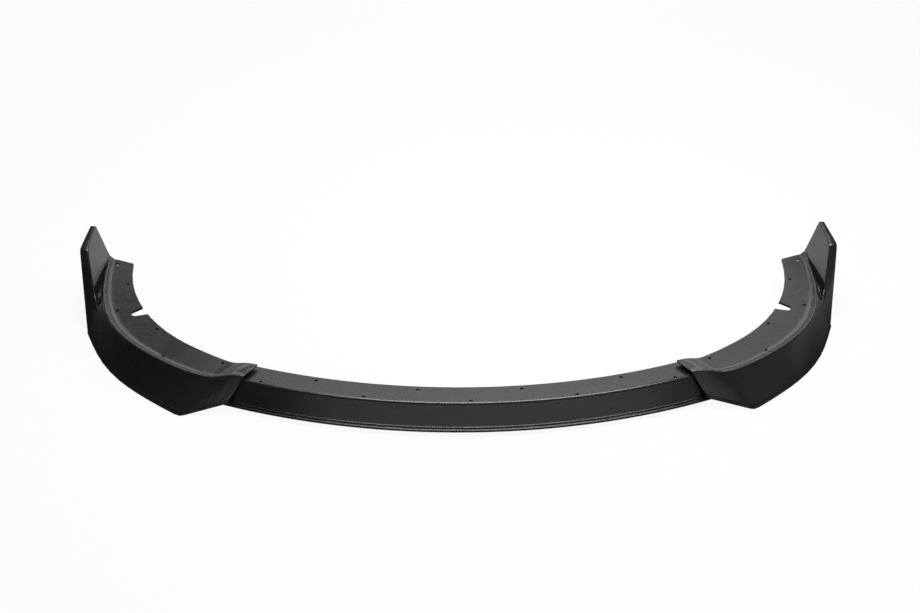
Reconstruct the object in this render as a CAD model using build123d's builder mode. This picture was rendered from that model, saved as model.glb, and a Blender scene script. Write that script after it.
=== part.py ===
"""Front splitter lip for a car: a bowed centre section and two corners with winglet fins.

Millimetres, +Z up. The car faces -Y, X = 0 is the plane of symmetry, and Z = 0 is the floor that the
corners rest on. The origin is at the bottom centre of the whole lip.
"""

import os
from math import atan2, cos, degrees, radians, sin, tan

from build123d import *

# Whole lip
lip_depth = 558.0
front_y = -lip_depth / 2
rear_y = lip_depth / 2

# Wall, and the two small steps of the bead along the foot of every face
wall = 5.0
upper_step_out = 3.0
lower_step_out = 4.5
upper_step_drop = 4.5
lower_step_drop = 4.5
step_round = 2.0
round_flats = 3
small_flats = 2
bead_out = upper_step_out + lower_step_out
bead_drop = upper_step_drop + lower_step_drop

# Centre section, turned about one upright axis behind the lip
flange_z = 62.0
flange_width = 52.0
centre_foot_z = 9.5
centre_face_run = 22.0
ridge_radius = 1320.0
ridge_round = 5.0

# Fixing holes
hole_d = 7.0
rear_hole_d = 9.0
hole_pitch_angle = 9.5
front_hole_inset = 6.5
rear_hole_inset = 11.0
rear_end_hole = (790, rear_y - 18)
corner_holes = [(755, rear_y - 89), (761, 81), (666, 18), (638, front_y + 197), (512, front_y + 173)]

# Joint: the raised end of the corner laps over a plain tongue of the centre section
joint_x = 462.0
joint_turn = 32.0
joint_lean = 18.0
lap_rise_ridge = 10.0
lap_rise_inner = 11.0
lap_length = 14.0
lap_ramp = 50.0
tongue_length = 30.0
seat_clearance = 0.3
seat_rib_inset = 10.0
seat_rib_width = 5.0

# Right corner, plan lines from the joint round to the rear end
corner_start_x = 428.0
inner_front = [(472, front_y + 165), (539, front_y + 203)]
inner_side = [(633, -2), (685, 61), (731, rear_y - 129), (752, rear_y - 49)]
ridge_kink = (530, front_y + 119)
ridge_side = [(645, front_y + 173), (753, 0), (796, rear_y - 160), (805, rear_y - 79)]
foot_joint = (494, front_y + 87)
foot_tip = (596, front_y + 74)
foot_front = [(665, front_y + 129), (739, front_y + 200), (791, -5)]
foot_rear = [(827, rear_y - 209), (841, rear_y - 171), (831, rear_y - 89)]
rear_inner_x = 757.0
rear_ridge_x = 808.0
rear_foot_x = 820.0
tip_round = 14.0

# Right corner, heights and section
joint_foot_z = 23.0
rear_inner_rise = 5.0
rear_flat_rise = 16.0
rear_ridge_rise = 29.0
cove_share = 0.33
corner_ridge_round = 6.0
side_bead_scale = 0.6
bead_taper_share = 0.3
front_sections = 8
side_sections = 16
section_crowding = 1.35

# Notch in the corner's inner edge
notch_upper = (710, 101.5)
notch_corner = (757, 50)
notch_lower = (695.5, 75)
notch_round = 9.8

# Winglet fin: side outline of its inner and outer faces, and how the faces lie
fin_tip_z = 168.5
fin_knuckle_y = rear_y - 85
fin_knuckle_z = 160.0
fin_outer_lead_y = rear_y - 171
fin_inner_lead_y = rear_y - 220
fin_outer_x = 852.0
fin_inner_x = 830.0
fin_outer_toe = 6.5
fin_outer_lean = 7.4
fin_inner_toe = 4.0
fin_inner_lean = 15.1
fin_knuckle_round = 18.0
fin_edge_bevel = 2.5
fin_wall = 4.0
valley_round = 9.0
valley_bite = 0.4
valley_start_room = 8.0
valley_growth = 0.5
fin_inner_lead_wall = 13.0
fin_outer_lead_wall = 3.0
fin_below = 3 * fin_wall

UP = Vector(0, 0, 1)
axis_y = front_y + ridge_radius + centre_face_run + bead_out


def ease(x):
    """Smooth step from 0 to 1."""
    x = min(max(x, 0.0), 1.0)
    return x * x * (3 - 2 * x)


def rounded(start, corner, end, flats=round_flats):
    """Points of a rounded corner, as a few flats."""
    shares = [n / flats for n in range(flats + 1)]
    ends = [Vector(start) * (1 - t) ** 2 + Vector(end) * t**2 for t in shares]
    return [point + Vector(corner) * (2 * t * (1 - t)) for point, t in zip(ends, shares)]


def arc_point(radius, x):
    """Point on the front of a circle about the centre section's axis, at x."""
    return Vector(x, axis_y - (radius**2 - x**2) ** 0.5)


# Planes of the joint, all parallel to the end of the corner
joint_away = Vector(cos(radians(joint_turn)), sin(radians(joint_turn)))
joint_across = Vector(sin(radians(joint_turn)), -cos(radians(joint_turn)))
joint_normal = joint_away * cos(radians(joint_lean)) + UP * sin(radians(joint_lean))
joint_ridge = arc_point(ridge_radius, joint_x) + UP * (flange_z + lap_rise_ridge)


def joint_plane(distance):
    """Plane parallel to the end of the right corner, a distance into it."""
    return Plane(origin=joint_ridge + joint_normal * distance, z_dir=joint_normal)


def tongue_plane(side, beyond=0):
    """Upright plane at the end of the tongue under the right corner, or under the left one for side -1."""
    end = joint_ridge + joint_away * (tongue_length + beyond)
    return Plane(origin=(side * end.X, end.Y, 0), z_dir=(side * joint_away.X, joint_away.Y, 0))


# Centre section, turned and then cut off at both tongues
inner_radius = ridge_radius - flange_width
face_foot_radius = ridge_radius + centre_face_run
face_foot_z = centre_foot_z + bead_drop
step_radius = face_foot_radius + upper_step_out
step_z = centre_foot_z + lower_step_drop
bead_radius = face_foot_radius + bead_out
face_lean = atan2(centre_face_run, flange_z - face_foot_z)
ridge_inset = wall * (1 - sin(face_lean)) / cos(face_lean)
foot_inset = wall / cos(face_lean) - bead_drop * tan(face_lean)
face_top = (ridge_radius + ridge_round * sin(face_lean), flange_z - ridge_round * cos(face_lean))
upper_ledge = (step_radius - step_round, face_foot_z)
upper_drop = (step_radius, face_foot_z - step_round)
lower_ledge = (bead_radius - step_round, step_z)
lower_drop = (bead_radius, step_z - step_round)
turn_angle = degrees(atan2(foot_tip[0], axis_y - foot_tip[1]))
turning_plane = Plane(origin=(0, axis_y, 0), x_dir=(0, -1, 0), z_dir=(-1, 0, 0))
turning_plane = turning_plane.rotated((0, 0, -turn_angle))
turning_axis = Axis((0, axis_y, 0), (0, 0, 1))
front_row = ridge_radius - front_hole_inset
rear_row = inner_radius + rear_hole_inset
centre_holes = [(front_row, n) for n in (-2, -1, 0, 1, 2)]
centre_holes += [(rear_row, n) for n in (-1.5, -0.5, 0.5, 1.5)]

with BuildPart() as centre_section:
    with BuildSketch(turning_plane):
        with BuildLine():
            Polyline(
                *rounded(face_top, (ridge_radius, flange_z), (ridge_radius - ridge_round, flange_z)),
                (inner_radius, flange_z),
                (inner_radius, flange_z - wall),
                (ridge_radius - ridge_inset, flange_z - wall),
                (face_foot_radius - foot_inset, centre_foot_z),
                (bead_radius, centre_foot_z),
                *rounded(lower_drop, (bead_radius, step_z), lower_ledge, small_flats),
                (step_radius, step_z),
                *rounded(upper_drop, (step_radius, face_foot_z), upper_ledge, small_flats),
                (face_foot_radius, face_foot_z),
                close=True,
            )
        make_face()
    revolve(axis=turning_axis, revolution_arc=2 * turn_angle)
    for side in (1, -1):
        split(bisect_by=tongue_plane(side), keep=Keep.BOTTOM)
    for row, n in centre_holes:
        turn = radians(n * hole_pitch_angle)
        with Locations((row * sin(turn), axis_y - row * cos(turn), flange_z)):
            Hole(radius=hole_d / 2, depth=2 * wall)

# Space that the centre section takes up, with the seat's clearance round it
with BuildPart() as centre_space:
    with BuildSketch(turning_plane):
        with BuildLine():
            Polyline(
                (inner_radius - flange_width, flange_z + seat_clearance),
                (ridge_radius + seat_clearance, flange_z + seat_clearance),
                (face_foot_radius + seat_clearance / cos(face_lean), face_foot_z + seat_clearance),
                (bead_radius + seat_clearance, face_foot_z + seat_clearance),
                (bead_radius + seat_clearance, -wall),
                (inner_radius - flange_width, -wall),
                close=True,
            )
        make_face()
    revolve(axis=turning_axis, revolution_arc=2 * turn_angle)

# The part of that space up to the end of the right tongue
with BuildPart() as tongue_space:
    add(centre_space.part)
    split(bisect_by=tongue_plane(1, seat_clearance), keep=Keep.BOTTOM)

# Plan lines of the right corner
start_ridge = arc_point(ridge_radius, corner_start_x)
start_inner = start_ridge - joint_across * flange_width
start_foot = start_ridge + joint_across * (centre_face_run + bead_out)
into_tip = (Vector(foot_tip) - Vector(foot_joint)).normalized()
from_tip = (Vector(foot_front[0]) - Vector(foot_tip)).normalized()
before_turn = Vector(foot_tip) - into_tip * tip_round

with BuildLine() as inner_line:
    Spline(start_inner, *inner_front, *inner_side, (rear_inner_x, rear_y))
with BuildLine() as ridge_line:
    Spline(start_ridge, arc_point(ridge_radius, joint_x), ridge_kink, *ridge_side, (rear_ridge_x, rear_y))
with BuildLine() as foot_line:
    Polyline(start_foot, foot_joint, before_turn)
    tip_turn = Bezier(before_turn, foot_tip, Vector(foot_tip) + from_tip * tip_round)
    Spline(tip_turn @ 1, *foot_front, *foot_rear, (rear_foot_x, rear_y))

inner_wire = inner_line.wire()
ridge_wire = ridge_line.wire()
foot_wire = foot_line.wire()
kink_share = ridge_wire.param_at_point(ridge_kink)
tip_share = foot_wire.param_at_point(tip_turn @ 0.5)
joint_share = foot_wire.param_at_point(foot_joint)


def foot_share(share):
    """Place along the foot that goes with a place along the ridge: the tip goes with the kink."""
    if share < kink_share:
        return tip_share * share / kink_share
    return tip_share + (1 - tip_share) * (share - kink_share) / (1 - kink_share)


def foot_z(share):
    """Height of the foot: up at the joint, on the floor from the tip on."""
    past_joint = (foot_share(share) - joint_share) / (tip_share - joint_share)
    return joint_foot_z * min(max(1 - past_joint, 0.0), 1.0)


def lap(point):
    """1 on the raised end of the corner, 0 past its ramp."""
    return 1 - ease(((point - joint_ridge).dot(joint_away) - lap_length) / lap_ramp)


def bead_scale(share):
    """The bead is full at the joint and slimmer along the side."""
    return 1 - (1 - side_bead_scale) * ease((share - kink_share) / bead_taper_share)


def section_points(share, depth):
    """Points of the corner's section at a place along it, and of its inside at a depth."""
    inner = inner_wire @ share
    ridge = ridge_wire @ share
    foot = foot_wire @ foot_share(share)
    to_ridge = (ridge - inner).normalized()
    out = (foot - ridge).normalized()
    cove = (ridge - inner).length * cove_share
    inner_z = flange_z + lap_rise_inner * lap(inner) + rear_inner_rise * share**2
    flat_z = flange_z + lap_rise_inner * lap(ridge) + rear_flat_rise * share**2
    ridge_z = flange_z + lap_rise_ridge * lap(ridge) + rear_ridge_rise * (1 - (1 - share) ** 2)
    inner = inner + UP * inner_z
    cove_start = ridge - to_ridge * cove + UP * flat_z
    cove_bend = ridge - to_ridge * (cove / 2) + UP * flat_z
    ridge = ridge + UP * ridge_z
    foot = foot + UP * foot_z(share)
    scale = bead_scale(share)
    face_foot = foot - out * (bead_out * scale) + UP * (bead_drop * scale)
    up_cove = (ridge - cove_bend).normalized()
    down_face = (face_foot - ridge).normalized()
    inward = (down_face - up_cove).normalized()
    spread = sin(radians(down_face.get_angle(up_cove * -1)) / 2)
    return {
        "out": out,
        "scale": scale,
        "inner": inner,
        "cove_start": cove_start,
        "cove_bend": cove_bend,
        "cove_end": ridge - up_cove * corner_ridge_round,
        "ridge": ridge,
        "face_top": ridge + down_face * corner_ridge_round,
        "face_foot": face_foot,
        "foot": foot,
        "inside_inner": inner - UP * depth,
        "inside_cove_start": cove_start - UP * depth,
        "inside_cove_bend": cove_bend - UP * depth,
        "inside_ridge": ridge + inward * (depth / spread),
        "inside_foot": foot - out * (bead_out * scale + depth),
    }


def shell_section(share):
    """Thin-walled section of the corner."""
    p = section_points(share, wall)
    out = p["out"]
    rounding = step_round * p["scale"]
    upper = p["face_foot"] + out * (upper_step_out * p["scale"])
    lower = p["foot"] + UP * (lower_step_drop * p["scale"])
    upper_foot = lower - out * (lower_step_out * p["scale"])
    with BuildLine() as section:
        Polyline(
            p["inner"],
            *rounded(p["cove_start"], p["cove_bend"], p["cove_end"]),
            *rounded(p["cove_end"], p["ridge"], p["face_top"])[1:],
            p["face_foot"],
            *rounded(upper - out * rounding, upper, upper - UP * rounding, small_flats),
            upper_foot,
            *rounded(lower - out * rounding, lower, lower - UP * rounding, small_flats),
            p["foot"],
            p["inside_foot"],
            *rounded(p["inside_ridge"], p["inside_cove_bend"], p["inside_cove_start"], small_flats),
            p["inside_inner"],
            close=True,
        )
    return section.wire()


def core_section(share):
    """Section of the space under the corner, from the middle of its wall to the height of its foot."""
    p = section_points(share, wall / 2)
    floor_in = Vector(p["inner"].X, p["inner"].Y, p["foot"].Z)
    with BuildLine() as section:
        Polyline(
            p["inside_inner"],
            *rounded(p["inside_cove_start"], p["inside_cove_bend"], p["inside_ridge"], small_flats),
            p["inside_foot"],
            floor_in,
            close=True,
        )
    return section.wire()


# The sections stand closest together at the tip
before_tip = [1 - (1 - n / front_sections) ** section_crowding for n in range(front_sections)]
past_tip = [(n / side_sections) ** section_crowding for n in range(side_sections + 1)]
stations = [kink_share * share for share in before_tip]
stations += [kink_share + (1 - kink_share) * share for share in past_tip]

# Space under the corner
with BuildPart() as core:
    add(Solid.make_loft([core_section(share) for share in stations], ruled=True))

# Rib inside the raised end, which seats on the centre section
with BuildPart() as seat_rib:
    add(core.part)
    split(bisect_by=joint_plane(seat_rib_inset), keep=Keep.TOP)
    split(bisect_by=joint_plane(seat_rib_inset + seat_rib_width), keep=Keep.BOTTOM)
    add(centre_space.part, mode=Mode.SUBTRACT)


def fin_face(x, at_y, at_z, toe, lean):
    """Plane of one side of the fin through a point: local x runs rearwards and local y up."""
    rearwards = Vector(-tan(radians(toe)), 1, 0)
    upwards = Vector(tan(radians(lean)), 0, 1)
    return Plane(origin=(x, at_y, at_z), x_dir=rearwards, z_dir=rearwards.cross(upwards))


def fin_outline(face, lead_y, inset):
    """Corners of one side of the fin, drawn in by an inset: rear foot, tip, knuckle and front foot."""
    knuckle_y = fin_knuckle_y + 1.5 * inset
    knuckle_z = fin_knuckle_z - inset
    front_foot_y = lead_y - (knuckle_y - lead_y) * fin_below / knuckle_z
    corners = [
        (rear_y - inset, -fin_below),
        (rear_y - inset, fin_tip_z - inset),
        (knuckle_y, knuckle_z),
        (front_foot_y, -fin_below),
    ]
    return [face.to_local_coords(face.intersect(Axis((0, y, z), (1, 0, 0)))) for y, z in corners]


inner_face = fin_face(fin_inner_x, rear_y, fin_tip_z, fin_inner_toe, fin_inner_lean)
outer_face = fin_face(fin_outer_x, fin_knuckle_y, fin_knuckle_z, fin_outer_toe, fin_outer_lean)
fin_sides = ((inner_face, fin_inner_lead_y), (outer_face, fin_outer_lead_y))
fin_space_sides = (
    (inner_face.offset(fin_wall), fin_inner_lead_y + fin_inner_lead_wall),
    (outer_face.offset(-fin_wall), fin_outer_lead_y + fin_outer_lead_wall),
)

with BuildPart() as fin_block:
    for face, lead_y in fin_sides:
        with BuildSketch(face):
            with BuildLine():
                FilletPolyline(*fin_outline(face, lead_y, 0), radius=[0, 0, fin_knuckle_round, 0], close=True)
            make_face()
    loft(ruled=True)
    rims = fin_block.faces().filter_by(GeomType.PLANE).edges()
    rims = rims.filter_by(lambda edge: edge.center().Z > 0 and edge.center().Y < rear_y - 1)
    chamfer(rims, length=fin_edge_bevel)

# The fin is hollow and open below
with BuildPart() as fin_space:
    for face, lead_y in fin_space_sides:
        with BuildSketch(face):
            with BuildLine():
                FilletPolyline(
                    *fin_outline(face, lead_y, fin_wall),
                    radius=[0, 0, fin_knuckle_round - fin_wall, 0],
                    close=True,
                )
            make_face()
    loft(ruled=True)

with BuildPart() as fin:
    add(fin_block.part)
    split(bisect_by=Plane.XY, keep=Keep.TOP)
    add(core.part, mode=Mode.SUBTRACT)



def valley_point(share):
    """Point where the corner's face meets the inner side of the fin."""
    p = section_points(share, wall)
    above = inner_face.to_local_coords(p["face_top"]).Z
    below = inner_face.to_local_coords(p["face_foot"]).Z
    return p["face_top"] + (p["face_foot"] - p["face_top"]) * (above / (above - below))


def valley_room(share):
    """Distance in Y from the leading edge of the fin's inner side back to the valley."""
    valley = valley_point(share)
    lead = fin_inner_lead_y + (fin_knuckle_y - fin_inner_lead_y) * valley.Z / fin_knuckle_z
    return valley.Y - lead


def valley_section(share):
    """Section of the rounding in the valley, let a little into both of its sides."""
    valley = valley_point(share)
    reach = min(valley_round, (valley_room(share) - valley_start_room) * valley_growth + 2 * valley_bite)
    up_face = (section_points(share, wall)["face_top"] - valley).normalized()
    up_fin = Vector(tan(radians(fin_inner_lean)), 0, 1).normalized()
    into_face = (up_face * up_face.dot(up_fin) - up_fin).normalized()
    into_fin = (up_fin * up_face.dot(up_fin) - up_face).normalized()
    on_face = valley + up_face * reach + into_face * valley_bite
    on_fin = valley + up_fin * reach + into_fin * valley_bite
    with BuildLine() as section:
        Polyline(
            valley - (up_face + up_fin) * (fin_wall / 4),
            *rounded(on_face, valley, on_fin, small_flats),
            close=True,
        )
    return section.wire()


# The rounding starts small, just behind the leading edge of the fin
above_floor = [share for share in stations if valley_point(share).Z > 0]
behind_lead = [share for share in above_floor if valley_room(share) > 2 * valley_start_room]
before_lead = stations[-len(behind_lead) - 1]
lead_rate = (valley_room(behind_lead[0]) - valley_room(before_lead)) / (behind_lead[0] - before_lead)
valley_start = before_lead + (valley_start_room - valley_room(before_lead)) / lead_rate

with BuildPart() as valley_rounding:
    add(Solid.make_loft([valley_section(share) for share in (valley_start, *behind_lead)], ruled=True))

with BuildPart() as right_corner:
    add(Solid.make_loft([shell_section(share) for share in stations], ruled=True))
    split(bisect_by=joint_plane(0), keep=Keep.TOP)
    add(fin.part)
    add(fin_space.part, mode=Mode.SUBTRACT)
    add(valley_rounding.part)
    add(seat_rib.part)
    add(tongue_space.part, mode=Mode.SUBTRACT)
    with Locations(*[(x, y, flange_z + rear_ridge_rise) for x, y in corner_holes]):
        Hole(radius=hole_d / 2, depth=rear_ridge_rise + 2 * wall)
    with Locations((*rear_end_hole, flange_z + rear_ridge_rise)):
        Hole(radius=rear_hole_d / 2, depth=rear_ridge_rise + 2 * wall)
    with BuildSketch(Plane.XY.offset(flange_z - 2 * wall)):
        with BuildLine():
            FilletPolyline(
                notch_upper,
                notch_corner,
                notch_lower,
                Vector(notch_upper) + Vector(notch_lower) - Vector(notch_corner),
                radius=[0, notch_round, 0, 0],
                close=True,
            )
        make_face()
    extrude(amount=2 * wall + rear_ridge_rise, mode=Mode.SUBTRACT)

with BuildPart() as left_corner:
    mirror(right_corner.part, about=Plane.YZ)

os.makedirs("parts", exist_ok=True)
centre_section.part.label = "centre_section"
left_corner.part.label = "left_corner"
right_corner.part.label = "right_corner"
for piece in (centre_section.part, left_corner.part, right_corner.part):
    export_step(piece, f"parts/{piece.label}.step")
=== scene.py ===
"""Looks of the front splitter lip: satin black mouldings on a white studio floor."""

from math import cos, radians, sin

import bmesh
import bpy
from mathutils import Matrix, Vector


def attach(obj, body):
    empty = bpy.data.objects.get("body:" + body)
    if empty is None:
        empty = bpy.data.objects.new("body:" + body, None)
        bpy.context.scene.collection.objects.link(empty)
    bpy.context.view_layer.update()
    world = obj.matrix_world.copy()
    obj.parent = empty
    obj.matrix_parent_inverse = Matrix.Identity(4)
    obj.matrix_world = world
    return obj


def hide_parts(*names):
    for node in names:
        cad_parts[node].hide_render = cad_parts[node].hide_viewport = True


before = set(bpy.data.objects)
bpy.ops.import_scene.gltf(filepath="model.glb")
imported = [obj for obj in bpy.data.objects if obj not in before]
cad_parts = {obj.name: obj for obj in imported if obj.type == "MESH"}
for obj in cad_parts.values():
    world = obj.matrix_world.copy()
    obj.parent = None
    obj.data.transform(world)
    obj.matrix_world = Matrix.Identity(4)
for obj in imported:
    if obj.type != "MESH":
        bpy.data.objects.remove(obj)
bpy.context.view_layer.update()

# Mesh of the mouldings, in metres and radians
WELD_DISTANCE = 1e-6
SHARP_ANGLE = radians(36)

# Colours of the moulded plastic
BLACK = (0.01, 0.01, 0.0105, 1)
FLOW_BLACK = (0.013, 0.013, 0.0136, 1)
GRAIN_BLACK = (0.017, 0.017, 0.0177, 1)
DUST_GREY = (0.09, 0.088, 0.085, 1)
SCUFF_GREY = (0.03, 0.03, 0.03, 1)

# Colours of the floor; its dark and pool colours are painted shade and painted light for the
# lip's bounce and reflections
WHITE = (1, 1, 1, 1)
FLOOR_WHITE = (0.9, 0.9, 0.9, 1)
POOL_PAINTED_LIGHT = (0.85, 0.85, 0.85, 1)
FLOOR_PAINTED_SHADE = (0.05, 0.05, 0.05, 1)

# Lamps: name, place, aim, width and height in metres, power in watts
LAMPS = (
    ("overhead_strip", (0.3, 0.0, 2.5), (0.3, 0.0, 0), 2.2, 1.0, 62),
    ("high_back_strip", (0.0, 2.0, 2.75), (0, -0.2, 0.06), 2.4, 0.4, 15),
    ("low_back_strip", (0.2, 1.1, 1.09), (0.1, -0.2, 0.06), 1.9, 0.3, 2.3),
    ("low_back_wall", (0.2, 2.6, 0.85), (0.1, -0.1, 0.06), 3.4, 0.7, 11),
    ("back_wall", (0.9, 3.4, 1.9), (0.2, 0, 0.05), 2.0, 1.0, 3.5),
    ("right_side", (2.6, -0.6, 0.9), (0.5, 0, 0), 2.4, 1.6, 1.5),
    ("front_fill", (0.4, -3.0, 0.7), (0.1, -0.2, 0.05), 5.0, 0.7, 8),
    ("front_right", (1.6, -3.0, 1.5), (0.5, -0.2, 0.05), 0.9, 0.6, 0.6),
)


class Level:
    """One socket of a material or world, so that shader maths reads as plain sums."""

    def __init__(self, finish, socket):
        self.finish = finish
        self.socket = socket

    def maths(self, operation, first, second):
        return self.finish.node("ShaderNodeMath", {"operation": operation}, {0: first, 1: second})

    def __add__(self, other):
        return self.maths("ADD", self, other)

    def __radd__(self, other):
        return self.maths("ADD", other, self)

    def __rsub__(self, other):
        return self.maths("SUBTRACT", other, self)

    def __mul__(self, other):
        return self.maths("MULTIPLY", self, other)

    def between(self, low, high):
        """0 below low, 1 above high, and smooth between them."""
        return self.finish.node(
            "ShaderNodeMapRange",
            {"interpolation_type": "SMOOTHSTEP", "clamp": True},
            {"Value": self, "From Min": low, "From Max": high},
        )


class Finish:
    """One material or world, and the nodes that make it."""

    def __init__(self, owner):
        owner.use_nodes = True
        self.owner = owner
        self.tree = owner.node_tree
        self.tree.nodes.clear()

    def node(self, kind, settings, inputs, output=0):
        """A new node with its settings and inputs, given back as one of its outputs."""
        made = self.tree.nodes.new(kind)
        for name, value in settings.items():
            setattr(made, name, value)
        for name, value in inputs.items():
            socket = made.inputs[name]
            if isinstance(value, Level):
                self.tree.links.new(value.socket, socket)
            else:
                socket.default_value = value
        return Level(self, made.outputs[output])

    def place(self, stretch=(1, 1, 1)):
        """Object coordinates, stretched."""
        spot = self.node("ShaderNodeTexCoord", {}, {}, "Object")
        return self.node("ShaderNodeMapping", {}, {"Vector": spot, "Scale": stretch})

    def axis(self, vector, name):
        """X, Y or Z of a vector."""
        return self.node("ShaderNodeSeparateXYZ", {}, {"Vector": vector}, name)

    def ray(self, kind):
        """1 for light paths of this kind, and 0 for others."""
        return self.node("ShaderNodeLightPath", {}, {}, kind)

    def noise(self, place, scale, detail, roughness=0.5):
        return self.node(
            "ShaderNodeTexNoise",
            {},
            {"Vector": place, "Scale": scale, "Detail": detail, "Roughness": roughness},
        )

    def mix(self, share, first, second):
        """Two colours mixed; the node's colour sockets are 6 and 7, and 2 on its way out."""
        return self.node(
            "ShaderNodeMix",
            {"data_type": "RGBA"},
            {"Factor": share, 6: first, 7: second},
            2,
        )

    def surface(self, shader, output="ShaderNodeOutputMaterial"):
        """Joins the shader to the output, and gives the finished material or world back."""
        end = self.tree.nodes.new(output)
        self.tree.links.new(shader.socket, end.inputs["Surface"])
        return self.owner


def satin_black_moulding():
    """Moulded black plastic: fine grain, soft flow marks, a little dust, scuffs near the foot."""
    f = Finish(bpy.data.materials.new("satin_black_moulding"))
    place = f.place()
    height = f.axis(place, "Z")
    facing_up = f.axis(f.node("ShaderNodeNewGeometry", {}, {}, "Normal"), "Z")

    flow = f.noise(f.place((1, 1, 3)), scale=7.0, detail=3.0)
    grain = f.noise(place, scale=1400.0, detail=2.0, roughness=0.6)
    pebble = f.node(
        "ShaderNodeTexVoronoi",
        {"feature": "SMOOTH_F1"},
        {"Vector": place, "Scale": 900.0},
    )
    specks = f.noise(place, scale=420.0, detail=4.0, roughness=0.7)
    streaks = f.noise(f.place((5, 5, 120)), scale=9.0, detail=5.0, roughness=0.7)
    smudge = f.noise(f.place((1, 1, 2)), scale=26.0, detail=4.0, roughness=0.6)
    swell = f.noise(place, scale=14.0, detail=1.0)

    dust = facing_up.between(0.6, 1.0) * specks.between(0.5, 0.8) * flow.between(0.35, 0.7)
    scuff = (1 - height.between(0.004, 0.02)) * streaks.between(0.56, 0.7)

    black = f.mix(flow.between(0.3, 0.7), BLACK, FLOW_BLACK)
    black = f.mix(grain.between(0.2, 0.8) * 0.35, black, GRAIN_BLACK)
    black = f.mix(dust * 0.18, black, DUST_GREY)
    black = f.mix(scuff * 0.3, black, SCUFF_GREY)
    rough = 0.18 + flow * 0.05 + smudge * 0.1 + grain * 0.03 + dust * 0.15 + scuff * 0.12

    waves = f.node(
        "ShaderNodeBump",
        {},
        {"Strength": 0.25, "Distance": 0.0012, "Height": swell},
    )
    bump = f.node(
        "ShaderNodeBump",
        {},
        {
            "Strength": 0.18,
            "Distance": 0.00008,
            "Height": grain * 0.5 + pebble * 0.5,
            "Normal": waves,
        },
    )
    shader = f.node(
        "ShaderNodeBsdfPrincipled",
        {},
        {"Base Color": black, "Roughness": rough, "Specular IOR Level": 0.75, "Normal": bump},
    )
    return f.surface(shader)


def moulding(name, finish):
    """A copy of a CAD node with its facets joined and shaded smooth, shown in its place."""
    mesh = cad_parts[name].data.copy()
    mesh.name = name + "_moulding"
    work = bmesh.new()
    work.from_mesh(mesh)
    bmesh.ops.remove_doubles(work, verts=work.verts, dist=WELD_DISTANCE)
    work.to_mesh(mesh)
    work.free()
    mesh.shade_smooth()
    mesh.set_sharp_from_angle(angle=SHARP_ANGLE)
    mesh.materials.clear()
    mesh.materials.append(finish)
    piece = bpy.data.objects.new(name + "_moulding", mesh)
    bpy.context.scene.collection.objects.link(piece)
    even = piece.modifiers.new("even_normals", "WEIGHTED_NORMAL")
    even.keep_sharp = True
    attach(piece, "root")
    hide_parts(name)


def floor_white():
    """White to the camera, with the lip's faint shadow.

    To the lip it is painted dark, with painted pools of light behind, before and beside it.
    """
    f = Finish(bpy.data.materials.new("studio_white_painted_pools"))
    place = f.place()
    across = f.axis(place, "X")
    back = f.axis(place, "Y")

    # Soft edges of the painted pools of light, in metres
    left_share = 0.75
    beside_share = 0.3
    behind = back.between(0.2, 0.5) * (left_share + across.between(-0.4, 0.4) * (1 - left_share))
    before = (1 - back.between(-0.6, -0.35)) * (1 - (across * across).between(0.15, 0.4))
    beside = across.between(0.75, 1.5) * beside_share
    painted_light_pool = behind + before + (1 - behind) * (1 - before) * beside

    camera = f.ray("Is Camera Ray")
    glossy = f.ray("Is Glossy Ray")
    through = f.ray("Is Transmission Ray")
    # Painted shade and painted pools of light in the floor's colour, seen only in the lip's
    # bounce and reflections
    paint = f.mix(camera, f.mix(painted_light_pool, FLOOR_PAINTED_SHADE, POOL_PAINTED_LIGHT), FLOOR_WHITE)
    painted = f.node(
        "ShaderNodeBsdfPrincipled",
        {},
        {"Base Color": paint, "Roughness": 0.8, "Specular IOR Level": 0.1},
    )
    glow = f.node("ShaderNodeEmission", {}, {"Color": WHITE, "Strength": 1.0})
    glow_share = 0.92
    # The glow is the white floor to the camera, and a painted reflection of the pools to the lip
    seen = camera + (glossy + through) * painted_light_pool
    return f.surface(
        f.node("ShaderNodeMixShader", {}, {0: seen * glow_share, 1: painted, 2: glow})
    )


def studio_floor():
    """Flat floor, just under the lip's foot."""
    reach = 12.0
    drop = 0.0005
    corners = [(-reach, -reach, 0), (reach, -reach, 0), (reach, reach, 0), (-reach, reach, 0)]
    mesh = bpy.data.meshes.new("studio_floor")
    mesh.from_pydata(corners, [], [(0, 1, 2, 3)])
    mesh.materials.append(floor_white())
    floor = bpy.data.objects.new("studio_floor", mesh)
    floor.location.z = -drop
    bpy.context.scene.collection.objects.link(floor)


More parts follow.
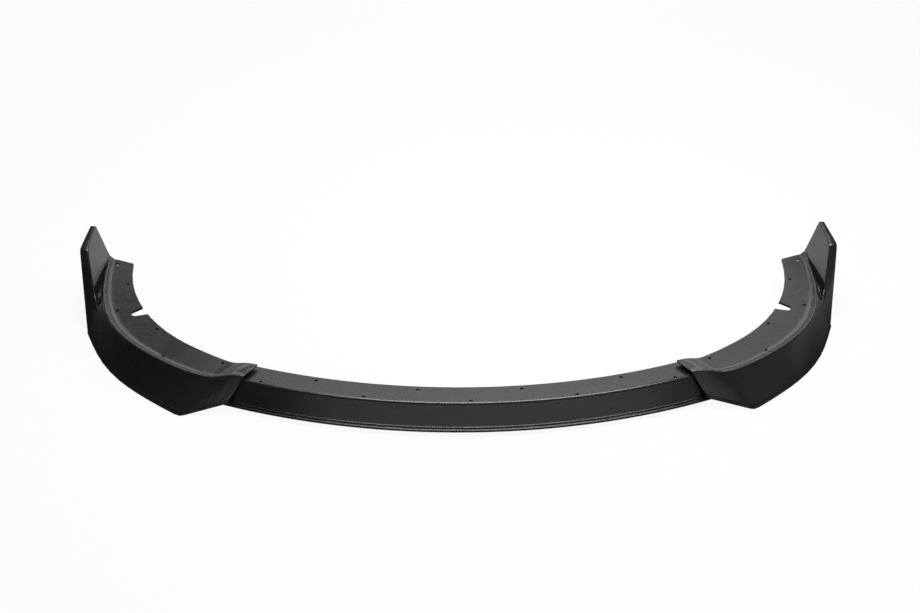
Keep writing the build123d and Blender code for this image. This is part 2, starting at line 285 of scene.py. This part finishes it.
def studio_world():
    """White to the camera, faint in the lip's sheen, and a dim room otherwise."""
    dim = 0.03
    sheen = 0.02
    f = Finish(bpy.data.worlds.new("studio_room"))
    camera = f.ray("Is Camera Ray")
    glossy = f.ray("Is Glossy Ray")
    through = f.ray("Is Transmission Ray")
    strength = dim + camera * (1 - dim) + (glossy + through) * sheen
    room = f.node("ShaderNodeBackground", {}, {"Color": WHITE, "Strength": strength})
    bpy.context.scene.world = f.surface(room, "ShaderNodeOutputWorld")


def softbox(name, place, aim, width, height, power):
    """Soft rectangular studio lamp."""
    lamp = bpy.data.lights.new(name, "AREA")
    lamp.shape = "RECTANGLE"
    lamp.size = width
    lamp.size_y = height
    lamp.energy = power
    box = bpy.data.objects.new(name, lamp)
    box.location = place
    box.rotation_euler = (Vector(aim) - Vector(place)).to_track_quat("-Z", "Y").to_euler()
    bpy.context.scene.collection.objects.link(box)


def photo_camera():
    """Camera fitted to the photograph: its angle, roll, distance and lens."""
    turn = radians(-2.837)
    rise = radians(34.0)
    roll = radians(1.099)
    distance = 3.11577
    target = Vector((-0.0042, 0.1895, 0))
    sensor_width = 36.0
    focal_pixels = 1350
    photo_width = 920

    back = Vector((sin(turn) * cos(rise), -cos(turn) * cos(rise), sin(rise)))
    right = Vector((cos(turn), sin(turn), 0))
    up = back.cross(right)
    rolled_right = right * cos(roll) + up * sin(roll)
    rolled_up = up * cos(roll) - right * sin(roll)
    lens = bpy.data.cameras.new("photo_camera")
    lens.sensor_width = sensor_width
    lens.lens = sensor_width * focal_pixels / photo_width
    camera = bpy.data.objects.new("photo_camera", lens)
    axes = Matrix((rolled_right, rolled_up, back)).transposed()
    camera.matrix_world = Matrix.Translation(target + back * distance) @ axes.to_4x4()
    bpy.context.scene.collection.objects.link(camera)
    bpy.context.scene.camera = camera


black_moulding = satin_black_moulding()
for node in ("centre_section", "left_corner", "right_corner"):
    moulding(node, black_moulding)

studio_floor()
studio_world()
for lamp in LAMPS:
    softbox(*lamp)
photo_camera()

bpy.context.scene.view_settings.view_transform = "Standard"
